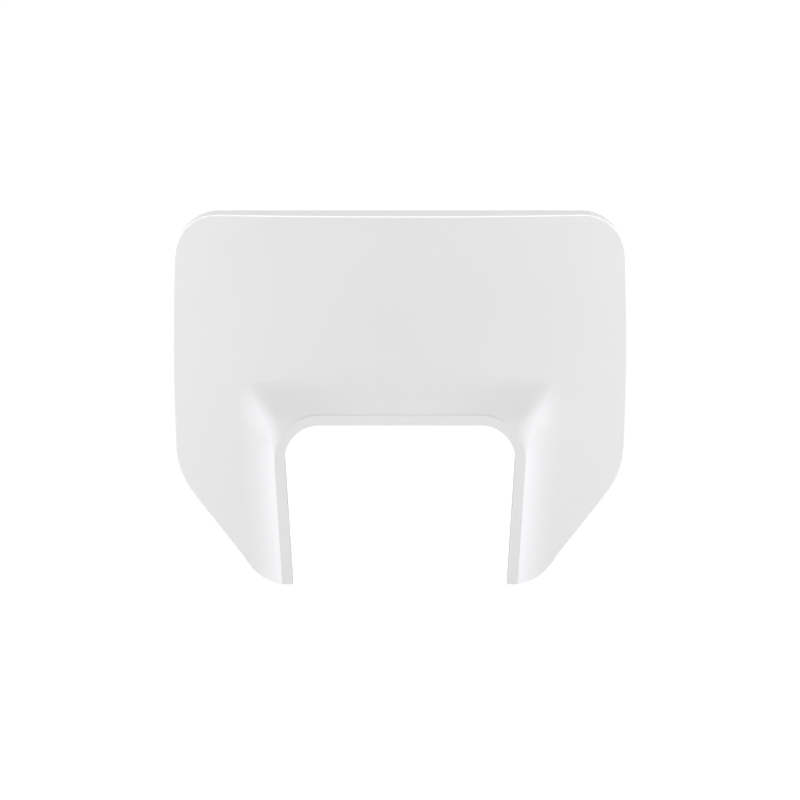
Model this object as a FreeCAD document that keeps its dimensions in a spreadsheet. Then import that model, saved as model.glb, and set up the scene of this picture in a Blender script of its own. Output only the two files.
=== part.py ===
import FreeCAD, Part
import math
import os
import Sketcher

V = FreeCAD.Vector

# Sizes in mm and degrees. X is across, Z is up, -Y is the front.
# The origin is the centre of the four lamp screws, on the plane of their boss ends.
SIZES = [
    ("overall_width", 262.0, "widest part of the outline, across the sides"),
    ("side_radius", 1200.0, "slow bulge of each side"),
    ("side_middle", 62.0, "height of the widest point"),
    ("top_height", 141.4, "top flange above the origin"),
    ("foot_drop", 71.7, "bottom of the legs below the origin"),
    ("foot_corner", 78.7, "half width where the cheek line meets the bottom"),
    ("cheek_angle", 38.7, "lean of the slanted cheeks from upright"),
    ("top_corner_radius", 25.0, "upper corners of the outline"),
    ("cheek_corner_radius", 46.0, "corners between the sides and the cheeks"),
    ("foot_corner_radius", 24.0, "corners between the cheeks and the bottom"),
    ("wall", 2.2, "wall thickness"),
    ("edge_break", 0.6, "broken front edge of the shell"),
    ("plate_radius", 620.0, "curve of the plate across its width"),
    ("rim_front", 28.0, "rim plane in front of the boss ends"),
    ("rim_proud", 1.5, "rim plane in front of the middle of the plate"),
    ("top_reach", 8.7, "rear edge of the top flange behind the boss ends"),
    ("side_reach", 28.0, "rear edge of the side walls behind the boss ends"),
    ("side_reach_top", 72.0, "height where the side walls reach full depth"),
    ("side_reach_foot", 16.0, "height below which the walls get shallower again"),
    ("foot_reach", 5.0, "rear edge of the feet behind the boss ends"),
    ("rear_blend", 38.0, "radius that joins the three runs of the rear edge"),
    ("opening_foot_width", 123.8, "lamp opening between the legs, at their bottom"),
    ("leg_slant", 3.5, "lean of the opening's sides from upright"),
    ("opening_top", 20.8, "top edge of the opening above the origin"),
    ("opening_corner", 20.0, "upper corners of the opening"),
    ("rim_width", 6.0, "flat strip round the opening"),
    ("flange_depth", 16.0, "return flange of the opening, back from the rim"),
    ("foot_relief", 3.0, "how far the feet end outside the opening, behind the flange"),
    ("rim_step", 0.15, "rim strip in front of the flat that surrounds it"),
    ("rim_backing", 0.6, "extra thickness behind the rim strip"),
    ("skirt_width", 15.5, "skirt beside the legs, from the rim edge to its foot"),
    ("skirt_pull", 5.5, "how close to the rim the skirt is steepest"),
    ("skirt_ease", 0.05, "slope that is left where the skirt meets the plate"),
    ("skirt_lift", 0.12, "how far in front of the plate that last slope starts"),
    ("skirt_run", 5.0, "how far the skirt goes on behind the plate's face"),
    ("skirt_start", 2.0, "height where the skirt leaves the straight rim edge"),
    ("skirt_turn", 14.0, "height where the skirt's upper edge turns outwards"),
    ("skirt_tuck", 2.5, "how far that edge follows the rim corner inwards"),
    ("skirt_spread", 21.0, "outward lean of that edge above the turn"),
    ("foot_spread", 5.0, "outward lean of the skirt's foot"),
    ("skirt_crisp", 0.25, "half width of the bend at the skirt's upper edge, on the legs"),
    ("skirt_soft", 5.0, "growth of that bend up to the brow"),
    ("skirt_fade", 24.0, "height over which the skirt fades into the plate"),
    ("brow_start", 22.0, "height where the flat over the opening starts to fade"),
    ("brow_fade", 38.0, "height over which that flat fades"),
    ("brow_sink", 0.1, "how far the faded surround lies behind the plate's face"),
    ("run_out", 12.0, "how far cutting outlines run past the part"),
    ("screw_spacing_x", 160.0, "lamp screws across"),
    ("screw_spacing_z", 64.0, "lamp screws up"),
    ("boss_diameter", 10.0, "lamp screw bosses"),
    ("pilot_diameter", 4.2, "pilot holes of the lamp screws"),
    ("pilot_depth", 12.0, "pilot holes of the lamp screws"),
    ("web_thickness", 1.6, "webs that brace the bosses"),
    ("web_reach", 14.0, "webs, out from the middle of a boss"),
    ("web_setback", 5.0, "top of the webs below the boss ends"),
    ("hook_offset", 94.0, "strap hooks, middle of the stem from the centre"),
    ("hook_height", 94.0, "strap hooks, middle above the origin"),
    ("hook_width", 16.0, "strap hooks along the wall"),
    ("hook_thickness", 4.0, "stem and lip of the strap hooks"),
    ("hook_lip", 11.0, "lip of the strap hooks past the stem"),
    ("hook_reach", 4.0, "back of the strap hooks behind the boss ends"),
    ("tongue_offset", 71.0, "foot tongues, middle from the centre"),
    ("tongue_width", 9.0, "foot tongues across"),
    ("tongue_thickness", 3.2, "foot tongues"),
    ("tongue_lift", 2.2, "underside of the tongues above the bottom of the legs"),
    ("tongue_root", 4.0, "start of the tongues in front of the boss ends"),
    ("tongue_reach", 20.0, "end of the foot tongues behind the boss ends"),
]

doc = FreeCAD.newDocument("headlight_mask")
sheet = doc.addObject("Spreadsheet::Sheet", "sizes")
for row, (alias, value, note) in enumerate(SIZES, 1):
    sheet.set("A%d" % row, alias)
    sheet.set("B%d" % row, str(value))
    sheet.set("C%d" % row, note)
    sheet.setAlias("B%d" % row, alias)
doc.recompute()


def size(alias):
    return float(sheet.get(alias))


def plane(body, role):
    for feature in body.Origin.OriginFeatures:
        if feature.Role == role:
            return feature
    raise ValueError("no plane " + role)


def new_sketch(body, name, role, offset):
    """A sketch on one of the body's own planes, moved along its normal by an expression."""
    sketch = body.newObject("Sketcher::SketchObject", name)
    sketch.AttachmentSupport = [(plane(body, role), "")]
    sketch.MapMode = "FlatFace"
    if offset is not None:
        sketch.setExpression("AttachmentOffset.Base.z", offset)
    return sketch


def bind(sketch, constraint, name, expression):
    """Add a dimension, name it and tie it to the sheet."""
    index = sketch.addConstraint(constraint)
    sketch.renameConstraint(index, name)
    sketch.setExpression("Constraints." + name, expression)


def join(sketch, pairs):
    for first, first_end, second, second_end in pairs:
        sketch.addConstraint(Sketcher.Constraint("Coincident", first, first_end, second, second_end))


def mirror_points(sketch, pairs):
    for first, first_end, second, second_end in pairs:
        sketch.addConstraint(
            Sketcher.Constraint("Symmetric", first, first_end, second, second_end, -2)
        )


def line(x0, y0, x1, y1):
    return Part.LineSegment(V(x0, y0, 0), V(x1, y1, 0))


def arc(cx, cy, radius, start, end):
    return Part.ArcOfCircle(Part.Circle(V(cx, cy, 0), V(0, 0, 1), radius), start, end)


def polygon(sketch, points):
    """A closed run of lines. Returns nothing: the lines are numbered from 0."""
    last = len(points) - 1
    for i in range(len(points)):
        here = points[i]
        there = points[0 if i == last else i + 1]
        sketch.addGeometry(line(here[0], here[1], there[0], there[1]))
    join(sketch, [(i, 2, 0 if i == last else i + 1, 1) for i in range(len(points))])


def outline_sketch(body, name, offset, inset):
    """The front view of the mask with sharp corners, moved in by inset times the wall."""
    wall = size("wall") * inset
    lean = math.radians(size("cheek_angle"))
    radius = size("side_radius") - wall
    cx = size("overall_width") / 2 - size("side_radius")
    cz = size("side_middle")
    top = size("top_height") - wall
    bottom = wall - size("foot_drop")
    foot = size("foot_corner") - wall / math.cos(lean) + wall * math.tan(lean)
    across = foot - cx
    up = bottom - cz
    along = across * math.sin(lean) + up * math.cos(lean)
    reach = math.sqrt(along * along - across * across - up * up + radius * radius) - along
    waist = (foot + reach * math.sin(lean), bottom + reach * math.cos(lean))
    shoulder = cx + math.sqrt(radius * radius - (top - cz) ** 2)
    low = math.atan2(waist[1] - cz, waist[0] - cx)
    high = math.atan2(top - cz, shoulder - cx)
    sketch = new_sketch(body, name, "XZ_Plane", offset)
    sketch.addGeometry(line(foot, bottom, waist[0], waist[1]))
    sketch.addGeometry(arc(cx, cz, radius, low, high))
    sketch.addGeometry(line(shoulder, top, -shoulder, top))
    sketch.addGeometry(arc(-cx, cz, radius, math.pi - high, math.pi - low))
    sketch.addGeometry(line(-waist[0], waist[1], -foot, bottom))
    sketch.addGeometry(line(-foot, bottom, foot, bottom))
    join(sketch, [(0, 2, 1, 1), (1, 2, 2, 1), (2, 2, 3, 1), (3, 2, 4, 1), (4, 2, 5, 1), (5, 2, 0, 1)])
    mirror_points(sketch, [(2, 1, 2, 2), (0, 2, 4, 1), (0, 1, 4, 2)])
    sketch.addConstraint(Sketcher.Constraint("Equal", 1, 3))
    moved = "%s * sizes.wall" % inset
    bind(sketch, Sketcher.Constraint("Radius", 1, radius), "side_radius", "sizes.side_radius - " + moved)
    bind(
        sketch,
        Sketcher.Constraint("DistanceX", 1, 3, -1, 1, -cx),
        "side_centre",
        "sizes.side_radius - sizes.overall_width / 2",
    )
    bind(sketch, Sketcher.Constraint("DistanceY", -1, 1, 1, 3, cz), "side_middle", "sizes.side_middle")
    bind(sketch, Sketcher.Constraint("DistanceY", -1, 1, 2, 1, top), "top", "sizes.top_height - " + moved)
    bind(sketch, Sketcher.Constraint("DistanceY", 0, 1, -1, 1, -bottom), "bottom", "sizes.foot_drop - " + moved)
    bind(
        sketch,
        Sketcher.Constraint("DistanceX", -1, 1, 0, 1, foot),
        "foot",
        "sizes.foot_corner + %s * (tan(sizes.cheek_angle * 1 deg) - 1 / cos(sizes.cheek_angle * 1 deg))"
        % moved,
    )
    bind(
        sketch,
        Sketcher.Constraint("Angle", 0, math.pi / 2 - lean),
        "cheek",
        "90 deg - sizes.cheek_angle * 1 deg",
    )
    return sketch


def lamp_sketch(body, name, offset, side, top, corner):
    """The U of the lamp opening, grown by side, top and corner. Each is (value, expression)."""
    lean = math.radians(size("leg_slant"))
    run = size("run_out")
    radius = size("opening_corner") + corner[0]
    roof = size("opening_top") + top[0]
    bottom = -size("foot_drop") - run
    foot = size("opening_foot_width") / 2 - run * math.tan(lean) + side[0] / math.cos(lean)
    cz = roof - radius
    cx = foot + (cz - bottom) * math.tan(lean) - radius / math.cos(lean)
    knee = (cx + radius * math.cos(lean), cz - radius * math.sin(lean))
    sketch = new_sketch(body, name, "XZ_Plane", offset)
    sketch.addGeometry(line(foot, bottom, knee[0], knee[1]))
    sketch.addGeometry(arc(cx, cz, radius, -lean, math.pi / 2))
    sketch.addGeometry(line(cx, roof, -cx, roof))
    sketch.addGeometry(arc(-cx, cz, radius, math.pi / 2, math.pi + lean))
    sketch.addGeometry(line(-knee[0], knee[1], -foot, bottom))
    sketch.addGeometry(line(-foot, bottom, foot, bottom))
    for first, second in ((0, 1), (1, 2), (2, 3), (3, 4)):
        sketch.addConstraint(Sketcher.Constraint("Tangent", first, 2, second, 1))
    join(sketch, [(4, 2, 5, 1), (5, 2, 0, 1)])
    mirror_points(sketch, [(0, 1, 4, 2), (2, 1, 2, 2)])
    sketch.addConstraint(Sketcher.Constraint("Equal", 1, 3))
    bind(sketch, Sketcher.Constraint("Radius", 1, radius), "corner", "sizes.opening_corner + " + corner[1])
    bind(sketch, Sketcher.Constraint("DistanceY", -1, 1, 2, 1, roof), "roof", "sizes.opening_top + " + top[1])
    bind(
        sketch,
        Sketcher.Constraint("DistanceY", 0, 1, -1, 1, -bottom),
        "bottom",
        "sizes.foot_drop + sizes.run_out",
    )
    bind(
        sketch,
        Sketcher.Constraint("DistanceX", -1, 1, 0, 1, foot),
        "foot",
        "sizes.opening_foot_width / 2 - sizes.run_out * tan(sizes.leg_slant * 1 deg)"
        " + (%s) / cos(sizes.leg_slant * 1 deg)" % side[1],
    )
    bind(
        sketch,
        Sketcher.Constraint("Angle", 0, math.pi / 2 - lean),
        "slant",
        "90 deg - sizes.leg_slant * 1 deg",
    )
    return sketch


def grown(expression):
    """A size expression and its value, for lamp_sketch."""
    value = sheet.evalExpression(expression.replace("sizes.", ""))
    return (float(value), expression)


def pad(body, sketch, name, length, reverse):
    feature = body.newObject("PartDesign::Pad", name)
    feature.Profile = sketch
    feature.setExpression("Length", length)
    feature.Reversed = reverse
    doc.recompute()
    return feature


def edges_where(shape, test):
    return ["Edge%d" % i for i, edge in enumerate(shape.Edges, 1) if test(edge)]


def fillet(body, base, name, edges, radius):
    feature = body.newObject("PartDesign::Fillet", name)
    feature.Base = (base, edges)
    feature.setExpression("Radius", radius)
    doc.recompute()
    return feature


def runs_along(edge, axis):
    ends = [vertex.Point for vertex in edge.Vertexes]
    if len(ends) != 2:
        return False
    step = ends[1] - ends[0]
    return step.Length > 1e-6 and abs(abs(step.dot(axis)) - step.Length) < 1e-6


def outline_body(name, inset):
    """The outline as a block along Y, with its three pairs of corners rounded."""
    body = doc.addObject("PartDesign::Body", name)
    sketch = outline_sketch(body, name + "_outline", "-sizes.side_reach - sizes.run_out", inset)
    block = pad(
        body, sketch, name + "_block", "sizes.side_reach + sizes.rim_front + 2 * sizes.run_out", False
    )
    moved = " - %s * sizes.wall" % inset
    heights = (
        ("top_corner_radius", size("top_height") - 15, size("top_height") + 15),
        ("cheek_corner_radius", -size("foot_drop") + 20, size("top_height") - 40),
        ("foot_corner_radius", -size("foot_drop") - 15, -size("foot_drop") + 15),
    )
    for alias, low, high in heights:
        picked = edges_where(
            block.Shape,
            lambda e: runs_along(e, V(0, 1, 0)) and low < e.CenterOfMass.z < high and e.Length > 50
            and len(e.Vertexes) == 2 and is_sharp(block.Shape, e),
        )
        block = fillet(body, block, name + "_" + alias, picked, "sizes." + alias + moved)
    return body, block


def is_sharp(shape, edge):
    """True where the two faces at the edge meet at a corner."""
    faces = [face for face in shape.Faces if any(edge.isSame(e) for e in face.Edges)]
    if len(faces) != 2:
        return False
    point = edge.CenterOfMass
    normals = [face.normalAt(*face.Surface.parameter(point)) for face in faces]
    return abs(normals[0].dot(normals[1])) < 0.99



def plan_cut(body, base, name, inset):
    """Cut away what lies in front of the curved plate."""
    wall = size("wall") * inset
    radius = size("plate_radius") - wall
    cy = size("plate_radius") + size("rim_proud") - size("rim_front")
    half = size("overall_width") / 2 + size("run_out")
    ahead = -size("rim_front") - 2 * size("run_out")
    swing = math.asin(half / radius)
    end = cy - radius * math.cos(swing)
    sketch = new_sketch(body, name + "_plan", "XY_Plane", None)
    sketch.addGeometry(arc(0, cy, radius, -math.pi / 2 - swing, -math.pi / 2 + swing))
    sketch.addGeometry(line(half, end, half, ahead))
    sketch.addGeometry(line(half, ahead, -half, ahead))
    sketch.addGeometry(line(-half, ahead, -half, end))
    join(sketch, [(0, 2, 1, 1), (1, 2, 2, 1), (2, 2, 3, 1), (3, 2, 0, 1)])
    mirror_points(sketch, [(0, 1, 0, 2)])
    sketch.addConstraint(Sketcher.Constraint("Vertical", 1))
    sketch.addConstraint(Sketcher.Constraint("Horizontal", 2))
    sketch.addConstraint(Sketcher.Constraint("Vertical", 3))
    moved = "%s * sizes.wall" % inset
    bind(sketch, Sketcher.Constraint("Radius", 0, radius), "curve", "sizes.plate_radius - " + moved)
    bind(
        sketch,
        Sketcher.Constraint("DistanceY", -1, 1, 0, 3, cy),
        "centre",
        "sizes.plate_radius + sizes.rim_proud - sizes.rim_front",
    )
    bind(
        sketch,
        Sketcher.Constraint("DistanceX", -1, 1, 1, 1, half),
        "half",
        "sizes.overall_width / 2 + sizes.run_out",
    )
    bind(
        sketch,
        Sketcher.Constraint("DistanceY", 2, 1, -1, 1, -ahead),
        "ahead",
        "sizes.rim_front + 2 * sizes.run_out",
    )
    cut = body.newObject("PartDesign::Pocket", name + "_face")
    cut.Profile = sketch
    cut.Midplane = True
    cut.setExpression("Length", "3 * (sizes.top_height + sizes.foot_drop)")
    doc.recompute()
    return cut


def rear_cut(body, base, name):
    """Trim the walls to the rear edge, seen from the side."""
    run = size("run_out")
    top = size("top_height")
    deep = size("side_reach")
    far = deep + 3 * run
    upper = size("side_reach_top")
    lower = size("side_reach_foot")
    above = size("top_reach") - (deep - size("top_reach")) / (top - upper) * run
    drop = size("foot_drop")
    below = size("foot_reach") - (deep - size("foot_reach")) / (drop + lower) * run
    sketch = new_sketch(body, name + "_side", "YZ_Plane", None)
    polygon(
        sketch,
        [
            (above, top + run),
            (deep, upper),
            (deep, lower),
            (below, -drop - run),
            (far, -drop - run),
            (far, top + run),
        ],
    )
    sketch.addConstraint(Sketcher.Constraint("Vertical", 1))
    sketch.addConstraint(Sketcher.Constraint("Horizontal", 3))
    sketch.addConstraint(Sketcher.Constraint("Vertical", 4))
    sketch.addConstraint(Sketcher.Constraint("Horizontal", 5))
    bind(sketch, Sketcher.Constraint("DistanceX", -1, 1, 1, 1, deep), "deep", "sizes.side_reach")
    bind(sketch, Sketcher.Constraint("DistanceY", -1, 1, 1, 1, upper), "upper", "sizes.side_reach_top")
    bind(sketch, Sketcher.Constraint("DistanceY", -1, 1, 2, 1, lower), "lower", "sizes.side_reach_foot")
    bind(
        sketch,
        Sketcher.Constraint("DistanceX", -1, 1, 4, 1, far),
        "far",
        "sizes.side_reach + 3 * sizes.run_out",
    )
    bind(
        sketch,
        Sketcher.Constraint("DistanceY", -1, 1, 5, 1, top + run),
        "top",
        "sizes.top_height + sizes.run_out",
    )
    bind(
        sketch,
        Sketcher.Constraint("DistanceY", 4, 1, -1, 1, drop + run),
        "bottom",
        "sizes.foot_drop + sizes.run_out",
    )
    bind(
        sketch,
        Sketcher.Constraint("DistanceX", 0, 1, 5, 1, far - above),
        "above",
        "sizes.side_reach + 3 * sizes.run_out - sizes.top_reach"
        " + (sizes.side_reach - sizes.top_reach) / (sizes.top_height - sizes.side_reach_top) * sizes.run_out",
    )
    bind(
        sketch,
        Sketcher.Constraint("DistanceX", 3, 1, 4, 1, far - below),
        "below",
        "sizes.side_reach + 3 * sizes.run_out - sizes.foot_reach"
        " + (sizes.side_reach - sizes.foot_reach) / (sizes.foot_drop + sizes.side_reach_foot) * sizes.run_out",
    )
    cut = body.newObject("PartDesign::Pocket", name + "_rear")
    cut.Profile = sketch
    cut.Midplane = True
    cut.setExpression("Length", "3 * sizes.overall_width")
    doc.recompute()
    picked = edges_where(
        cut.Shape,
        lambda e: runs_along(e, V(1, 0, 0)) and abs(e.CenterOfMass.y - deep) < 0.01,
    )
    return fillet(body, cut, name + "_rear_blend", picked, "sizes.rear_blend")


def break_front(body, base, name):
    """Break the front edge: every edge of the curved plate face."""
    curved = [
        face
        for face in base.Shape.Faces
        if face.Surface.TypeId == "Part::GeomCylinder"
        and abs(face.Surface.Axis.z) > 0.999
        and face.Surface.Radius > size("plate_radius") * 0.9
    ]
    picked = edges_where(base.Shape, lambda e: any(e.isSame(own) for own in curved[0].Edges))
    feature = body.newObject("PartDesign::Chamfer", name + "_edge")
    feature.Base = (base, picked)
    feature.setExpression("Size", "sizes.edge_break")
    doc.recompute()
    return feature


def ease(value):
    """0 below 0, 1 above 1 and a smooth run between."""
    value = min(max(value, 0.0), 1.0)
    return value * value * (3.0 - 2.0 * value)


def surround_level(height, inset):
    """One level of the lamp surround as ten runs of points: the flat across the middle, then the bend,
    the skirt, its run-out and the end of one side, the back, and the same of the other side."""
    wall = size("wall") * inset
    radius = size("plate_radius") - wall
    step = size("rim_proud") - size("rim_step")

    def plate(x):
        return step + radius - math.sqrt(radius * radius - x * x)

    def slope(x):
        return x / math.sqrt(radius * radius - x * x)

    def leg(z):
        across = size("opening_foot_width") / 2 + size("rim_width") - 0.5 * wall
        return across + (z + size("foot_drop")) * math.tan(math.radians(size("leg_slant")))

    start = size("skirt_start")
    turn = size("skirt_turn")
    above = max(height - start, 0.0)
    if height < turn:
        edge = leg(height) - size("skirt_tuck") * (above / (turn - start)) ** 2
    else:
        spread = math.tan(math.radians(size("skirt_spread")))
        edge = leg(turn) - size("skirt_tuck") + (height - turn) * spread
    end = leg(height) + size("skirt_width") + 0.3 * wall
    end += above * math.tan(math.radians(size("foot_spread")))
    soft = size("skirt_crisp") + size("skirt_soft") * ease(above / (size("brow_start") - start))
    soft = min(soft, (end - edge) / 3)
    out = end + size("skirt_run")

    over = max(height - size("brow_start"), 0.0)
    side = ease(over / size("skirt_fade"))
    side_sink = size("brow_sink") + max(over - size("skirt_fade"), 0.0) * size("skirt_ease")
    middle = ease(over / size("brow_fade"))
    sink = size("brow_sink") + max(over - size("brow_fade"), 0.0) * size("skirt_ease")

    flat = edge - soft
    top = edge + soft
    centre = middle * (plate(0) + sink)
    corner = side * (plate(edge) + side_sink)
    shelf = centre + (corner - centre) * (flat / edge) ** 2
    tail = plate(end) + side * side_sink - (1.0 - side) * size("skirt_lift")
    pull = top + (1.0 - side) * size("skirt_pull") + side * (end - top) / 2
    bend = tail - (slope(end) + (1.0 - side) * size("skirt_ease")) * (end - pull)
    fall = (bend - corner) / (pull - edge)
    brink = corner + fall * soft
    last = tail + (slope(end) + size("skirt_ease")) * (out - end)
    rear = plate(out) + size("run_out")
    face = size("rim_step") - size("rim_front") + wall

    def at(x, depth):
        return V(x, face + depth, height)

    return [
        [at(-flat, shelf), at(0, 2 * centre - shelf), at(flat, shelf)],
        [at(flat, shelf), at(edge, corner), at(top, brink)],
        [at(top, brink), at(pull, bend), at(end, tail)],
        [at(end, tail), at(out, last)],
        [at(out, last), at(out, rear)],
        [at(out, rear), at(-out, rear)],
        [at(-out, rear), at(-out, last)],
        [at(-out, last), at(-end, tail)],
        [at(-end, tail), at(-pull, bend), at(-top, brink)],
        [at(-top, brink), at(-edge, corner), at(-flat, shelf)],
    ]


def surround_cap(level):
    """The flat end of the surround at its first or last level."""
    edges = []
    for points in level:
        curve = Part.BezierCurve()
        curve.setPoles(points)
        edges.append(curve.toShape())
    return Part.Face(Part.Wire(edges))


def surround_body(name, inset):
    """The lamp surround. Its skin is free-form, so it is made from surfaces and not from a sketch."""
    low = -size("foot_drop") - size("run_out")
    start = size("skirt_start")
    top = size("brow_start") + size("brow_fade") + size("run_out")
    heights = [low + (start - low) * share / 4 for share in range(4)]
    heights += [start + (top - start) * share / 18 for share in range(19)]
    levels = [surround_level(height, inset) for height in heights]
    spans = len(levels) - 3
    knots = [float(i) for i in range(spans + 1)]
    repeats = [4] + [1] * (spans - 1) + [4]
    faces = [surround_cap(levels[0]), surround_cap(levels[-1])]
    for run in range(len(levels[0])):
        poles = [level[run] for level in levels]
        degree = len(poles[0]) - 1
        surface = Part.BSplineSurface()
        ends = [degree + 1, degree + 1]
        surface.buildFromPolesMultsKnots(poles, repeats, ends, knots, [0.0, 1.0], False, False, 3, degree)
        faces.append(surface.toShape())
    skin = Part.Compound(faces)
    skin.sewShape()
    solid = Part.Solid(skin.Shells[0])
    if solid.Volume < 0:
        solid.reverse()
    feature = doc.addObject("Part::Feature", name)
    feature.Shape = solid
    return feature


def form(name, inset):
    """The solid shape of the mask, or of its hollow: plate, walls and lamp surround."""
    body, tip = outline_body(name + "_plate", inset)
    tip = plan_cut(body, tip, name, inset)
    if inset == 0:
        tip = rear_cut(body, tip, name)
        break_front(body, tip, name)
    frame, _ = outline_body(name + "_frame", inset)
    hood = surround_body(name + "_hood", inset)
    trimmed = doc.addObject("Part::Common", name + "_surround")
    trimmed.Base = hood
    trimmed.Tool = frame
    whole = doc.addObject("Part::Fuse", name + "_form")
    whole.Base = body
    whole.Tool = trimmed
    doc.recompute()
    return whole, frame


outer, outer_frame = form("outer", 0)
hollow, hollow_frame = form("hollow", 1)
shell = doc.addObject("Part::Cut", "shell")
shell.Base = outer
shell.Tool = hollow


def mirror_body(body, name):
    """Repeat a whole body on the other side of the middle plane."""
    feature = body.newObject("PartDesign::Mirrored", name)
    feature.TransformMode = "Whole shape"
    feature.MirrorPlane = (plane(body, "YZ_Plane"), [""])
    body.Tip = feature
    doc.recompute()
    return feature


def rectangle(sketch, left, right, low, high):
    """A rectangle in the lower right of the sketch: x grows from the origin, y is given below it."""
    polygon(sketch, [(left[0], -low[0]), (right[0], -low[0]), (right[0], -high[0]), (left[0], -high[0])])
    for i, kind in enumerate(("Horizontal", "Vertical", "Horizontal", "Vertical")):
        sketch.addConstraint(Sketcher.Constraint(kind, i))
    bind(sketch, Sketcher.Constraint("DistanceX", -1, 1, 0, 1, left[0]), "left", left[1])
    bind(sketch, Sketcher.Constraint("DistanceX", -1, 1, 1, 1, right[0]), "right", right[1])
    bind(sketch, Sketcher.Constraint("DistanceY", 0, 1, -1, 1, low[0]), "low", low[1])
    bind(sketch, Sketcher.Constraint("DistanceY", 2, 1, -1, 1, high[0]), "high", high[1])


def lamp_block(name, offset, length, growth):
    """The U of the opening as a block along Y."""
    body = doc.addObject("PartDesign::Body", name)
    sketch = lamp_sketch(body, name + "_outline", offset, growth, growth, growth)
    doc.recompute()
    pad(body, sketch, name + "_pad", length, False)
    return body


def screw_circle(body, name, offset, diameter):
    """One lamp screw, at the lower right."""
    sketch = new_sketch(body, name, "XZ_Plane", offset)
    x = size("screw_spacing_x") / 2
    z = size("screw_spacing_z") / 2
    sketch.addGeometry(Part.Circle(V(x, -z, 0), V(0, 0, 1), size(diameter) / 2))
    bind(sketch, Sketcher.Constraint("Diameter", 0, size(diameter)), "diameter", "sizes." + diameter)
    bind(sketch, Sketcher.Constraint("DistanceX", -1, 1, 0, 3, x), "across", "sizes.screw_spacing_x / 2")
    bind(sketch, Sketcher.Constraint("DistanceY", 0, 3, -1, 1, z), "down", "sizes.screw_spacing_z / 2")
    doc.recompute()
    return sketch


def four_screws(body, name):
    """Repeat a body upwards by the screw spacing and then across."""
    rows = body.newObject("PartDesign::LinearPattern", name + "_rows")
    rows.TransformMode = "Whole shape"
    rows.Direction = (plane(body, "Z_Axis"), [""])
    rows.Occurrences = 2
    rows.setExpression("Length", "sizes.screw_spacing_z")
    body.Tip = rows
    doc.recompute()
    mirror_body(body, name + "_sides")


# Return flange behind the rim, to be opened by the lamp cut.
flange = lamp_block(
    "flange",
    "sizes.rim_front - sizes.wall / 2",
    "sizes.flange_depth - sizes.wall / 2",
    grown("sizes.wall"),
)
flange.Tip.Reversed = True
flange_trim = doc.addObject("Part::Common", "flange_trim")
flange_trim.Base = flange
flange_trim.Tool = outer_frame

# Rim strip: a flat, slightly raised and thicker band round the opening.
rim = lamp_block(
    "rim",
    "sizes.rim_front",
    "sizes.rim_step + sizes.wall + sizes.rim_backing",
    grown("sizes.rim_width"),
)
rim.Tip.Reversed = True
rim_trim = doc.addObject("Part::Common", "rim_trim")
rim_trim.Base = rim
rim_trim.Tool = outer_frame

# Lamp screw bosses, each braced by two crossed webs.
bosses = doc.addObject("PartDesign::Body", "bosses")
bosses.AllowCompound = True
pad(bosses, screw_circle(bosses, "boss_circle", None, "boss_diameter"), "boss", "sizes.rim_front", False)
for axis in ("flat", "upright"):
    web = new_sketch(bosses, "web_" + axis, "XZ_Plane", "sizes.web_setback")
    wide, tall = ("web_reach", "web_thickness / 2") if axis == "flat" else ("web_thickness / 2", "web_reach")
    rectangle(
        web,
        grown("sizes.screw_spacing_x / 2 - sizes." + wide),
        grown("sizes.screw_spacing_x / 2 + sizes." + wide),
        grown("sizes.screw_spacing_z / 2 + sizes." + tall),
        grown("sizes.screw_spacing_z / 2 - sizes." + tall),
    )
    doc.recompute()
    pad(bosses, web, "boss_web_" + axis, "sizes.rim_front - sizes.web_setback", False)
four_screws(bosses, "boss")

# Strap hooks: a stem from the plate with a lip that points outwards.
hooks = doc.addObject("PartDesign::Body", "hooks")
hooks.AllowCompound = True
hook = new_sketch(hooks, "hook_plan", "XY_Plane", "sizes.hook_height")
inner = size("hook_offset") - size("hook_thickness") / 2
neck = size("hook_offset") + size("hook_thickness") / 2
tip_x = neck + size("hook_lip")
back = size("hook_reach")
under = back - size("hook_thickness")
front = -size("rim_front")
polygon(
    hook,
    [(inner, front), (neck, front), (neck, under), (tip_x, under), (tip_x, back), (inner, back)],
)
for i, kind in enumerate(("Horizontal", "Vertical", "Horizontal", "Vertical", "Horizontal", "Vertical")):
    hook.addConstraint(Sketcher.Constraint(kind, i))
bind(
    hook,
    Sketcher.Constraint("DistanceX", -1, 1, 0, 1, inner),
    "inner",
    "sizes.hook_offset - sizes.hook_thickness / 2",
)
bind(hook, Sketcher.Constraint("DistanceX", 0, 1, 0, 2, neck - inner), "stem", "sizes.hook_thickness")
bind(hook, Sketcher.Constraint("DistanceX", 2, 1, 2, 2, tip_x - neck), "lip", "sizes.hook_lip")
bind(hook, Sketcher.Constraint("DistanceY", 3, 1, 3, 2, back - under), "lip_thickness", "sizes.hook_thickness")
bind(hook, Sketcher.Constraint("DistanceY", -1, 1, 4, 1, back), "reach", "sizes.hook_reach")
bind(hook, Sketcher.Constraint("DistanceY", 0, 1, -1, 1, -front), "front", "sizes.rim_front")
doc.recompute()
hook_pad = pad(hooks, hook, "hook", "sizes.hook_width", False)
hook_pad.Midplane = True
doc.recompute()
mirror_body(hooks, "hook_sides")

# The bosses and hooks end at the outer skin, so they never show in front.
inside = doc.addObject("Part::MultiFuse", "inside")
inside.Shapes = [bosses, hooks]
inside_trim = doc.addObject("Part::Common", "inside_trim")
inside_trim.Base = inside
inside_trim.Tool = outer
doc.recompute()

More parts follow.
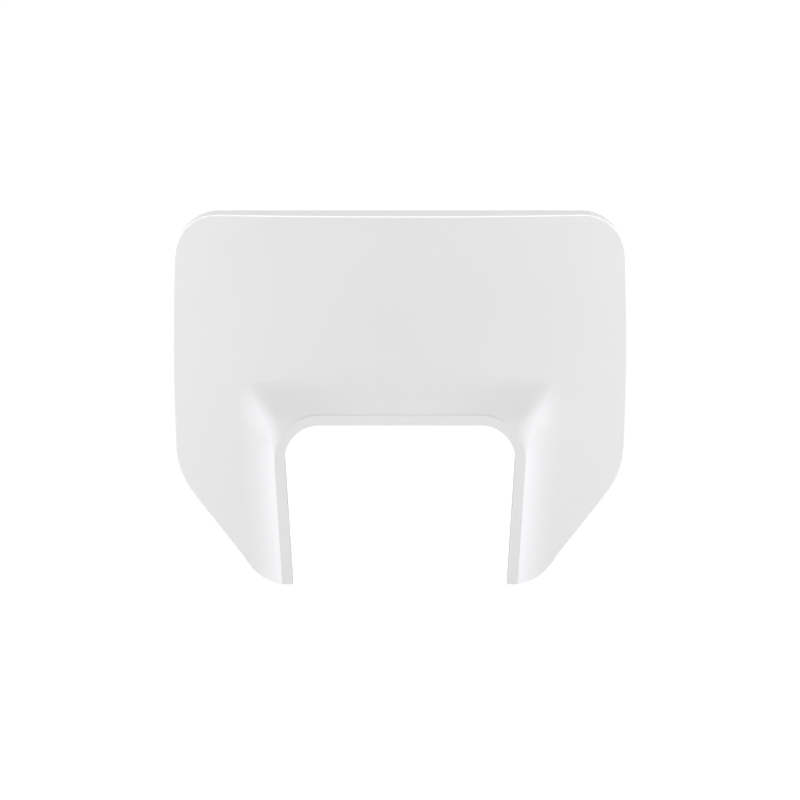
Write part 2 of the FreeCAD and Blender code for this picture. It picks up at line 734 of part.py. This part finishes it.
# Foot tongues that run back from the bottoms of the legs.
tongues = doc.addObject("PartDesign::Body", "tongues")
tongues.AllowCompound = True
tongue = new_sketch(tongues, "tongue_front", "XZ_Plane", "-sizes.tongue_reach")
rectangle(
    tongue,
    grown("sizes.tongue_offset - sizes.tongue_width / 2"),
    grown("sizes.tongue_offset + sizes.tongue_width / 2"),
    grown("sizes.foot_drop - sizes.tongue_lift"),
    grown("sizes.foot_drop - sizes.tongue_lift - sizes.tongue_thickness"),
)
doc.recompute()
pad(tongues, tongue, "tongue", "sizes.tongue_reach + sizes.tongue_root", False)
mirror_body(tongues, "tongue_sides")

solid = doc.addObject("Part::MultiFuse", "closed_mask")
solid.Shapes = [shell, rim_trim, flange_trim, inside_trim, tongues]

# The lamp opening and the pilot holes are cut last, through everything in their way.
# Behind the return flange the opening is wider, so that the feet clear the lamp.
opening = lamp_block(
    "opening",
    "sizes.rim_front + sizes.run_out",
    "sizes.rim_front + sizes.side_reach + 3 * sizes.run_out",
    grown("0 * sizes.wall"),
)
opening.Tip.Reversed = True
pilots = doc.addObject("PartDesign::Body", "pilots")
pilots.AllowCompound = True
pad(
    pilots,
    screw_circle(pilots, "pilot_circle", "-sizes.run_out", "pilot_diameter"),
    "pilot",
    "sizes.run_out + sizes.pilot_depth",
    False,
)
four_screws(pilots, "pilot")
doc.recompute()
opened = doc.addObject("Part::Cut", "opened_mask")
opened.Base = solid
opened.Tool = opening
relief = lamp_block(
    "relief",
    "sizes.rim_front - sizes.flange_depth",
    "sizes.flange_depth + sizes.side_reach + 2 * sizes.run_out",
    grown("sizes.foot_relief"),
)
relief.Tip.Reversed = True
relieved = doc.addObject("Part::Cut", "relieved_mask")
relieved.Base = opened
relieved.Tool = relief
mask = doc.addObject("Part::Cut", "mask")
mask.Base = relieved
mask.Tool = pilots
mask.Label = "headlight_mask"
doc.recompute()

for item in doc.Objects:
    if "Invalid" in item.State or "Error" in item.State:
        raise RuntimeError("%s is %s" % (item.Name, item.State))
    if hasattr(item, "Shape") and item.TypeId.startswith("Part") and not item.isDerivedFrom("App::Origin"):
        if item.Shape.isNull() or not item.Shape.isValid():
            raise RuntimeError("%s has no valid shape" % item.Name)
if len(mask.Shape.Solids) != 1:
    raise RuntimeError("the mask is not one solid")

os.makedirs("parts", exist_ok=True)
mask.Shape.exportStep("parts/headlight_mask.step")
print("volume", round(mask.Shape.Volume, 1), mask.Shape.BoundBox)
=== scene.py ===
import math

import bpy
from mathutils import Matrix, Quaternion, Vector


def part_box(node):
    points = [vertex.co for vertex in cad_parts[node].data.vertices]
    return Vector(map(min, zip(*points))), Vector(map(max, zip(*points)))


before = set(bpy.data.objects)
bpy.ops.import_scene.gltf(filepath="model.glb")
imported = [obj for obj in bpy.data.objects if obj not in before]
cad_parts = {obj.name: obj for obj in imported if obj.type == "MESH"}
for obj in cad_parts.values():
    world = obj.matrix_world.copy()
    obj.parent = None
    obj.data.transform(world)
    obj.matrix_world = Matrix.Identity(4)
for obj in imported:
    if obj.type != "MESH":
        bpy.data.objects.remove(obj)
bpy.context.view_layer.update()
scene = bpy.context.scene
scene.view_settings.view_transform = "Standard"
scene.view_settings.look = "None"
scene.view_settings.exposure = 0.0
scene.view_settings.gamma = 1.0

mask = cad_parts["headlight_mask"]
low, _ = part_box("headlight_mask")


def node(tree, kind, place, **values):
    made = tree.nodes.new(kind)
    made.location = place
    for name, value in values.items():
        made.inputs[name].default_value = value
    return made


def ramp(tree, place, stops):
    made = tree.nodes.new("ShaderNodeValToRGB")
    made.location = place
    for element, (position, grey) in zip(made.color_ramp.elements, stops):
        element.position = position
        element.color = (grey, grey, grey, 1.0)
    return made


def white_plastic():
    """Glossy white polypropylene: polished in front, spark-eroded grain on the inside."""
    material = bpy.data.materials.new("white_plastic")
    material.use_nodes = True
    tree = material.node_tree
    link = tree.links.new
    shader = tree.nodes["Principled BSDF"]
    shader.inputs["IOR"].default_value = 1.49
    shader.inputs["Specular IOR Level"].default_value = 0.45
    shader.inputs["Subsurface Weight"].default_value = 0.06
    shader.inputs["Subsurface Radius"].default_value = (0.004, 0.004, 0.0045)
    shader.inputs["Subsurface Scale"].default_value = 0.4
    place = tree.nodes.new("ShaderNodeTexCoord")
    place.location = (-1300, 0)

    # Flow of the melt: very faint clouds in the white.
    clouds = node(tree, "ShaderNodeTexNoise", (-1000, 300), Scale=16.0, Detail=3.0, Roughness=0.5)
    link(place.outputs["Object"], clouds.inputs["Vector"])
    tint = tree.nodes.new("ShaderNodeValToRGB")
    tint.location = (-700, 300)
    tint.color_ramp.elements[0].position = 0.3
    tint.color_ramp.elements[0].color = (0.795, 0.795, 0.801, 1.0)
    tint.color_ramp.elements[1].position = 0.7
    tint.color_ramp.elements[1].color = (0.808, 0.808, 0.813, 1.0)
    link(clouds.outputs["Fac"], tint.inputs["Fac"])

    # Faces that look to the rear are the grained core side of the mould.
    facing = tree.nodes.new("ShaderNodeNewGeometry")
    facing.location = (-1300, -300)
    split = tree.nodes.new("ShaderNodeSeparateXYZ")
    split.location = (-1100, -300)
    link(facing.outputs["True Normal"], split.inputs["Vector"])
    rear = ramp(tree, (-900, -300), ((0.05, 0.0), (0.35, 1.0)))
    link(split.outputs["Y"], rear.inputs["Fac"])

    smear = node(tree, "ShaderNodeTexNoise", (-1000, 0), Scale=45.0, Detail=4.0, Roughness=0.6)
    link(place.outputs["Object"], smear.inputs["Vector"])
    polish = node(tree, "ShaderNodeMapRange", (-700, 0))
    polish.inputs["To Min"].default_value = 0.15
    polish.inputs["To Max"].default_value = 0.22
    link(smear.outputs["Fac"], polish.inputs["Value"])
    # The walls leave the tool along Y, so they have a dull drawn finish. The same mask also makes their
    # colour a little greyer than the face, as painted shade.
    level = tree.nodes.new("ShaderNodeMath")
    level.location = (-900, -150)
    level.operation = "ABSOLUTE"
    link(split.outputs["Y"], level.inputs[0])
    wall_finish_and_shade_mask = ramp(tree, (-700, -150), ((0.3, 1.0), (0.6, 0.0)))
    link(level.outputs["Value"], wall_finish_and_shade_mask.inputs["Fac"])
    dull = tree.nodes.new("ShaderNodeMath")
    dull.location = (-550, -200)
    dull.operation = "MAXIMUM"
    link(rear.outputs["Color"], dull.inputs[0])
    link(wall_finish_and_shade_mask.outputs["Color"], dull.inputs[1])
    # Painted shade: on the walls the base colour is multiplied by 0.8, so they read darker than the
    # face.
    painted_wall_shade = tree.nodes.new("ShaderNodeMix")
    painted_wall_shade.location = (-350, 350)
    painted_wall_shade.data_type = "RGBA"
    painted_wall_shade.blend_type = "MULTIPLY"
    painted_wall_shade.inputs[7].default_value = (0.8, 0.8, 0.8, 1.0)
    link(wall_finish_and_shade_mask.outputs["Color"], painted_wall_shade.inputs[0])
    link(tint.outputs["Color"], painted_wall_shade.inputs[6])
    link(painted_wall_shade.outputs[2], shader.inputs["Base Color"])
    rough = tree.nodes.new("ShaderNodeMix")
    rough.location = (-350, -100)
    rough.inputs["B"].default_value = 0.6
    link(dull.outputs["Value"], rough.inputs["Factor"])
    link(polish.outputs["Result"], rough.inputs["A"])
    link(rough.outputs["Result"], shader.inputs["Roughness"])

    # Slow waviness of a big moulding, and the fine grain of its core side.
    wave = node(tree, "ShaderNodeTexNoise", (-1000, -500), Scale=28.0, Detail=1.0, Roughness=0.4)
    link(place.outputs["Object"], wave.inputs["Vector"])
    wave_bump = node(tree, "ShaderNodeBump", (-700, -500), Strength=0.03, Distance=0.0006)
    link(wave.outputs["Fac"], wave_bump.inputs["Height"])
    grain = node(tree, "ShaderNodeTexNoise", (-1000, -750), Scale=1500.0, Detail=2.0, Roughness=0.6)
    link(place.outputs["Object"], grain.inputs["Vector"])
    depth = tree.nodes.new("ShaderNodeMapRange")
    depth.location = (-700, -300)
    depth.inputs["To Min"].default_value = 0.04
    depth.inputs["To Max"].default_value = 0.32
    link(rear.outputs["Color"], depth.inputs["Value"])
    grain_bump = node(tree, "ShaderNodeBump", (-450, -600), Distance=0.00006)
    link(depth.outputs["Result"], grain_bump.inputs["Strength"])
    link(grain.outputs["Fac"], grain_bump.inputs["Height"])
    link(wave_bump.outputs["Normal"], grain_bump.inputs["Normal"])
    link(grain_bump.outputs["Normal"], shader.inputs["Normal"])
    return material


plastic = white_plastic()
for slot in mask.material_slots:
    slot.material = plastic


def plain(name, colour, glow):
    material = bpy.data.materials.new(name)
    material.use_nodes = True
    shader = material.node_tree.nodes["Principled BSDF"]
    shader.inputs["Base Color"].default_value = (*colour, 1.0)
    shader.inputs["Roughness"].default_value = 0.9
    shader.inputs["Specular IOR Level"].default_value = 0.0
    shader.inputs["Emission Color"].default_value = (1.0, 1.0, 1.0, 1.0)
    shader.inputs["Emission Strength"].default_value = glow
    return material


def sheet(name, corners, material):
    mesh = bpy.data.meshes.new(name)
    mesh.from_pydata(corners, [], [(0, 1, 2, 3)])
    piece = bpy.data.objects.new(name, mesh)
    scene.collection.objects.link(piece)
    piece.data.materials.append(material)


# The floor lies just under the feet and runs far enough out to fill the view behind the mask.
floor_gap = 0.0002
floor_reach = 40.0
ground = low[2] - floor_gap
sheet(
    "floor",
    [
        (-floor_reach, -floor_reach, ground),
        (floor_reach, -floor_reach, ground),
        (floor_reach, floor_reach, ground),
        (-floor_reach, floor_reach, ground),
    ],
    plain("floor_white", (0.12, 0.12, 0.12), 1.0),
)

world = bpy.data.worlds.new("studio")
scene.world = world
world.use_nodes = True
sky = world.node_tree
# The room is white at the horizon, like the floor that runs out to it, and dim overhead.
bearing = sky.nodes.new("ShaderNodeTexCoord")
bearing.location = (-900, 0)
rise = sky.nodes.new("ShaderNodeSeparateXYZ")
rise.location = (-700, 0)
glow = ramp(sky, (-500, 0), ((0.03, 1.0), (0.17, 0.12)))
sky.links.new(bearing.outputs["Generated"], rise.inputs["Vector"])
sky.links.new(rise.outputs["Z"], glow.inputs["Fac"])
sky.links.new(glow.outputs["Color"], sky.nodes["Background"].inputs["Color"])
sky.nodes["Background"].inputs["Strength"].default_value = 1.0

middle = Vector((0.0, -0.01, 0.035))
white = (1.0, 1.0, 1.0)
cool = (0.96, 0.97, 1.0)


def softbox(name, place, size, watts, colour, turn=0.0):
    """A rectangular lamp aimed at the mask. The turn, in degrees, is about its own axis."""
    light = bpy.data.lights.new(name, "AREA")
    light.shape = "RECTANGLE"
    light.size = size[0]
    light.size_y = size[1]
    light.energy = watts
    light.color = colour
    lamp = bpy.data.objects.new(name, light)
    scene.collection.objects.link(lamp)
    lamp.location = place
    aim = middle - lamp.location
    spin = Quaternion((0.0, 0.0, 1.0), math.radians(turn))
    lamp.rotation_euler = (aim.to_track_quat("-Z", "Y") @ spin).to_euler()


softbox("side_left", (-1.9, -0.02, 0.2), (0.7, 1.2), 27.0, cool)
softbox("side_right", (1.9, -0.02, 0.2), (0.7, 1.2), 27.0, cool)
softbox("front", (0.0, -2.0, 2.0), (1.6, 1.0), 23.5, white)
softbox("top", (0.0, 0.3, 2.3), (1.5, 0.6), 36.0, white)
# Two strips overhead, placed where the broken top edge mirrors them.
softbox("strip_left", (-0.25, -0.24, 2.2), (0.9, 0.2), 2.1, white, 15.5)
softbox("strip_right", (0.25, -0.24, 2.2), (0.9, 0.2), 2.1, white, -15.5)

camera = bpy.data.cameras.new("camera")
viewer = bpy.data.objects.new("camera", camera)
scene.collection.objects.link(viewer)
tilt = math.radians(7.8)
away = 3.0
target = Vector((0.0, -0.02, 0.0346))
viewer.location = target + Vector((0.0, -away * math.cos(tilt), away * math.sin(tilt)))
viewer.rotation_euler = (target - viewer.location).to_track_quat("-Z", "Y").to_euler()
camera.sensor_width = 36.0
camera.lens = 234.5
camera.clip_end = 50.0
scene.camera = viewer
